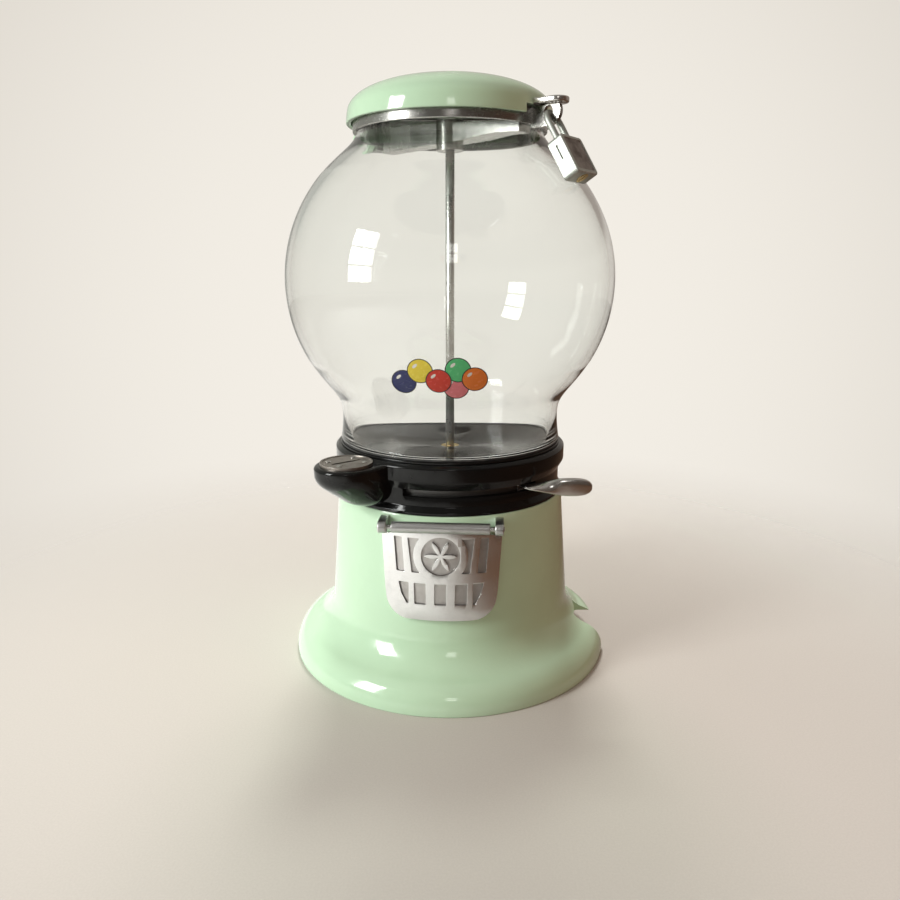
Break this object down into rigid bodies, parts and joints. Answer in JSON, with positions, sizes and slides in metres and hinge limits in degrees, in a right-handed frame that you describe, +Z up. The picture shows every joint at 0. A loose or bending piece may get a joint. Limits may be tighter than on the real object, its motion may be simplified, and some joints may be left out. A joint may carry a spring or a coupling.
{
  "type": "candy vending machine",
  "caption": "Countertop candy vending machine: clear globe on a flared cast base, with coin slot, lever, delivery flap, hinged padlocked lid and rear cash door.",
  "frame": {"origin": "centre of the base's bottom rim, on the machine's upright axis", "axes": "+Z up along the axis; the delivery flap faces -Y; the lever is on the +X side"},
  "size_m": [0.2266, 0.228, 0.3891],
  "materials": {
    "mint_enamel": "gloss enamel",
    "black_enamel": "gloss enamel",
    "polished_aluminium": "polished",
    "steel": "plain",
    "plain_sheet": "satin sheet",
    "warm_steel": "aged, satin",
    "nickel": "nickel plate",
    "dark_nickel": "worn nickel plate",
    "cast_metal": "as cast",
    "brass": "plain",
    "rubber": "matt",
    "clear_glass": "clear, polished",
    "padlock_steel": "polished, worn"
  },
  "bodies": {
    "machine": {"base_casting": "mint_enamel", "drum_casting": "black_enamel", "hopper_dish": "black_enamel", "flap_pin": "steel", "lid_hinge_pin": "steel", "cash_door_pin": "steel", "centre_rod": "steel", "lower_washer": "steel", "lower_nut": "steel", "upper_washer": "steel", "upper_nut": "steel", "bottom_screws": "steel", "chute_screws": "steel", "drum_bolts": "steel", "coin_plate_screws": "steel", "return_spring": "steel", "bottom_plate": "plain_sheet", "delivery_chute": "plain_sheet", "coin_plate": "warm_steel", "wheel_bush": "brass", "globe_gasket": "rubber", "neck_gasket": "rubber", "globe": "clear_glass", "collar": "dark_nickel"},
    "lever": {"carrier_ring": "cast_metal", "lever": "nickel", "lever_screw": "steel"},
    "wheel": {"vend_wheel": "cast_metal"},
    "flap": {"delivery_flap": "polished_aluminium"},
    "lid": {"lid": "mint_enamel"},
    "cash_door": {"cash_door": "mint_enamel", "cash_lock_body": "nickel"},
    "cash_lock": {"cash_lock_cam": "nickel"},
    "padlock": {"padlock_shackle": "padlock_steel"},
    "padlock_case": {"padlock_case": "padlock_steel"},
    "padlock_plug": {"padlock_plug": "brass"}
  },
  "joints": [
    {"name": "lever_swing", "type": "hinge", "parent": "machine", "child": "lever", "pos_m": [0, 0, 0.134], "axis": [0, 0, -1], "range_deg": [0, 60], "stiffness_Nm_per_rad": 0.08, "springref_deg": -22.92, "deforming": ["return_spring"]},
    {"name": "wheel_turn", "type": "hinge", "parent": "machine", "child": "wheel", "pos_m": [0, 0, 0.131], "axis": [0, 0, -1], "range_deg": [0, 60]},
    {"name": "flap_hinge", "type": "hinge", "parent": "machine", "child": "flap", "pos_m": [0, -0.08442, 0.1145], "axis": [-1, 0, 0], "range_deg": [0, 75]},
    {"name": "lid_hinge", "type": "hinge", "parent": "machine", "child": "lid", "pos_m": [-0.05764, 0.03701, 0.35764], "axis": [-0.5402, -0.8415, 0], "range_deg": [0, 105]},
    {"name": "cash_door_hinge", "type": "hinge", "parent": "machine", "child": "cash_door", "pos_m": [-0.06875, 0.0619, 0.067], "axis": [0, 0, 1], "range_deg": [0, 100]},
    {"name": "cash_lock_turn", "type": "hinge", "parent": "cash_door", "child": "cash_lock", "pos_m": [0, 0.075, 0.078], "axis": [0, -1, 0], "range_deg": [0, 90]},
    {"name": "padlock_swing", "type": "hinge", "parent": "machine", "child": "padlock", "pos_m": [0.06227, -0.03998, 0.36244], "axis": [-0.5402, -0.8415, 0], "range_deg": [0, 50]},
    {"name": "padlock_release", "type": "slide", "parent": "padlock", "child": "padlock_case", "axis": [0.4398, -0.2823, -0.8526], "range_m": [0, 0.008]},
    {"name": "padlock_key_turn", "type": "hinge", "parent": "padlock_case", "child": "padlock_plug", "pos_m": [0.08184, -0.05254, 0.3235], "axis": [0.4398, -0.2823, -0.8526], "range_deg": [0, 90]}
  ],
  "couplings": [
    {"joint": "wheel_turn", "follows": "lever_swing", "ratio": 1}
  ]
}
